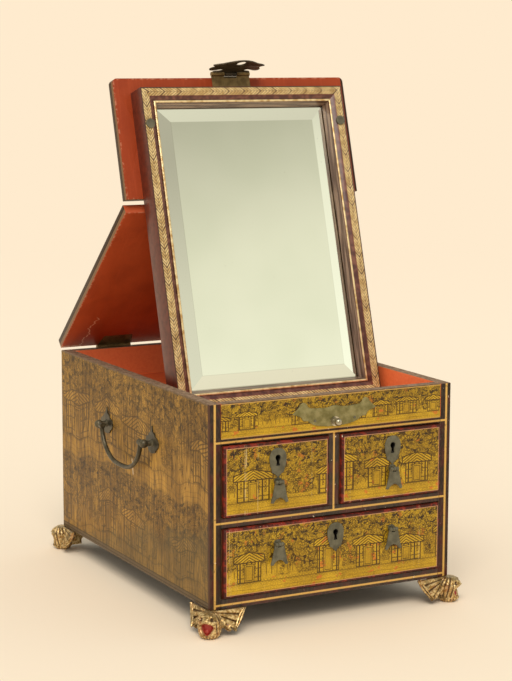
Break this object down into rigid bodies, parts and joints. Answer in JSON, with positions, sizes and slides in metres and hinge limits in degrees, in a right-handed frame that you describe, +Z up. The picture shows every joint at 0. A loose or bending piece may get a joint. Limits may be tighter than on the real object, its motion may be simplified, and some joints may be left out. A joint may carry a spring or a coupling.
{
  "type": "lacquered dressing box",
  "caption": "Lacquered dressing box on carved feet, with a folding lid that props a framed bevelled mirror, a shallow tray, keyed drawers and carrying handles.",
  "frame": {"origin": "middle of the footprint on the ground, level with the undersides of the feet", "axes": "+X to the right along the drawer fronts, -Y out of the drawer fronts towards the user, +Z up"},
  "size_m": [0.3102, 0.414, 0.5663],
  "materials": {
    "black_gold_lacquer": "gloss",
    "red_lacquer": "gloss",
    "dark_lacquer": "gloss",
    "drawer_wood": "matt",
    "gilt_wood": "satin",
    "frame_lacquer": "satin",
    "silvered_glass": "polished",
    "dark_brass": "aged",
    "hinge_brass": "satin"
  },
  "bodies": {
    "case": {"case_side_left": "black_gold_lacquer", "case_side_right": "black_gold_lacquer", "case_back": "black_gold_lacquer", "case_base": "dark_lacquer", "drawer_shelf": "dark_lacquer", "drawer_divider": "dark_lacquer", "tray_floor": "red_lacquer", "tray_front": "black_gold_lacquer", "foot_front_left": "gilt_wood", "foot_front_right": "gilt_wood", "foot_back_left": "gilt_wood", "foot_back_right": "gilt_wood", "rear_hinge_case_plates": "hinge_brass", "rear_hinge_pins": "hinge_brass", "lock_plate": "dark_brass", "lock_nails": "dark_brass", "lock_stud": "dark_brass", "handle_plates_left": "dark_brass", "handle_plates_right": "dark_brass", "handle_posts_left": "dark_brass", "handle_posts_right": "dark_brass"},
    "lid_rear": {"lid_rear_leaf": "red_lacquer", "rear_hinge_lid_plates": "hinge_brass", "mid_hinge_rear_plates": "hinge_brass", "mid_hinge_pins": "hinge_brass"},
    "lid_front": {"lid_front_leaf": "red_lacquer", "mid_hinge_front_plates": "hinge_brass", "mirror_stile_left": "frame_lacquer", "mirror_stile_right": "frame_lacquer", "mirror_rail_top": "frame_lacquer", "mirror_rail_bottom": "frame_lacquer", "mirror_glass": "silvered_glass", "mirror_backboard": "drawer_wood", "mirror_bolts": "dark_brass", "hasp_plate": "hinge_brass", "hasp_pin": "hinge_brass"},
    "hasp": {"hasp_tongue": "dark_brass"},
    "bail_left_swing": {"bail_left": "dark_brass"},
    "bail_right_swing": {"bail_right": "dark_brass"},
    "small_drawer_left": {"small_drawer_left_front": "black_gold_lacquer", "small_drawer_left_box": "drawer_wood", "small_drawer_left_escutcheon": "dark_brass", "small_drawer_left_pull_eyes": "dark_brass"},
    "small_drawer_left_pull_swing": {"small_drawer_left_pull": "dark_brass"},
    "small_drawer_right": {"small_drawer_right_front": "black_gold_lacquer", "small_drawer_right_box": "drawer_wood", "small_drawer_right_escutcheon": "dark_brass", "small_drawer_right_pull_eyes": "dark_brass"},
    "small_drawer_right_pull_swing": {"small_drawer_right_pull": "dark_brass"},
    "long_drawer": {"long_drawer_front": "black_gold_lacquer", "long_drawer_box": "drawer_wood", "long_drawer_escutcheon": "dark_brass", "long_drawer_pull_eyes": "dark_brass"},
    "long_drawer_pull_1_swing": {"long_drawer_pull_1": "dark_brass"},
    "long_drawer_pull_2_swing": {"long_drawer_pull_2": "dark_brass"}
  },
  "joints": [
    {"name": "lid_rear_hinge", "type": "hinge", "parent": "case", "child": "lid_rear", "pos_m": [0, 0.1948, 0.23415], "axis": [-1, 0, 0], "range_deg": [0, 60]},
    {"name": "lid_front_hinge", "type": "hinge", "parent": "lid_rear", "child": "lid_front", "pos_m": [0, 0.01573, 0.41595], "axis": [-1, 0, 0], "range_deg": [0, 90]},
    {"name": "hasp_hinge", "type": "hinge", "parent": "lid_front", "child": "hasp", "pos_m": [0, 0.03985, 0.54929], "axis": [1, 0, 0], "range_deg": [-161, 4]},
    {"name": "small_drawer_left_slide", "type": "slide", "parent": "case", "child": "small_drawer_left", "axis": [0, -1, 0], "range_m": [0, 0.3]},
    {"name": "small_drawer_left_pull_hinge", "type": "hinge", "parent": "small_drawer_left", "child": "small_drawer_left_pull_swing", "pos_m": [-0.06675, -0.2004, 0.1515], "axis": [-1, 0, 0], "range_deg": [-6, 95]},
    {"name": "small_drawer_right_slide", "type": "slide", "parent": "case", "child": "small_drawer_right", "axis": [0, -1, 0], "range_m": [0, 0.3]},
    {"name": "small_drawer_right_pull_hinge", "type": "hinge", "parent": "small_drawer_right", "child": "small_drawer_right_pull_swing", "pos_m": [0.06675, -0.2004, 0.1515], "axis": [-1, 0, 0], "range_deg": [-6, 95]},
    {"name": "long_drawer_slide", "type": "slide", "parent": "case", "child": "long_drawer", "axis": [0, -1, 0], "range_m": [0, 0.3]},
    {"name": "long_drawer_pull_1_hinge", "type": "hinge", "parent": "long_drawer", "child": "long_drawer_pull_1_swing", "pos_m": [-0.06675, -0.2004, 0.088], "axis": [-1, 0, 0], "range_deg": [-6, 95]},
    {"name": "long_drawer_pull_2_hinge", "type": "hinge", "parent": "long_drawer", "child": "long_drawer_pull_2_swing", "pos_m": [0.06675, -0.2004, 0.088], "axis": [-1, 0, 0], "range_deg": [-6, 95]},
    {"name": "bail_left_hinge", "type": "hinge", "parent": "case", "child": "bail_left_swing", "pos_m": [-0.1505, 0, 0.172], "axis": [0, 1, 0], "range_deg": [-8, 115]},
    {"name": "bail_right_hinge", "type": "hinge", "parent": "case", "child": "bail_right_swing", "pos_m": [0.1505, 0, 0.172], "axis": [0, -1, 0], "range_deg": [-8, 115]}
  ]
}
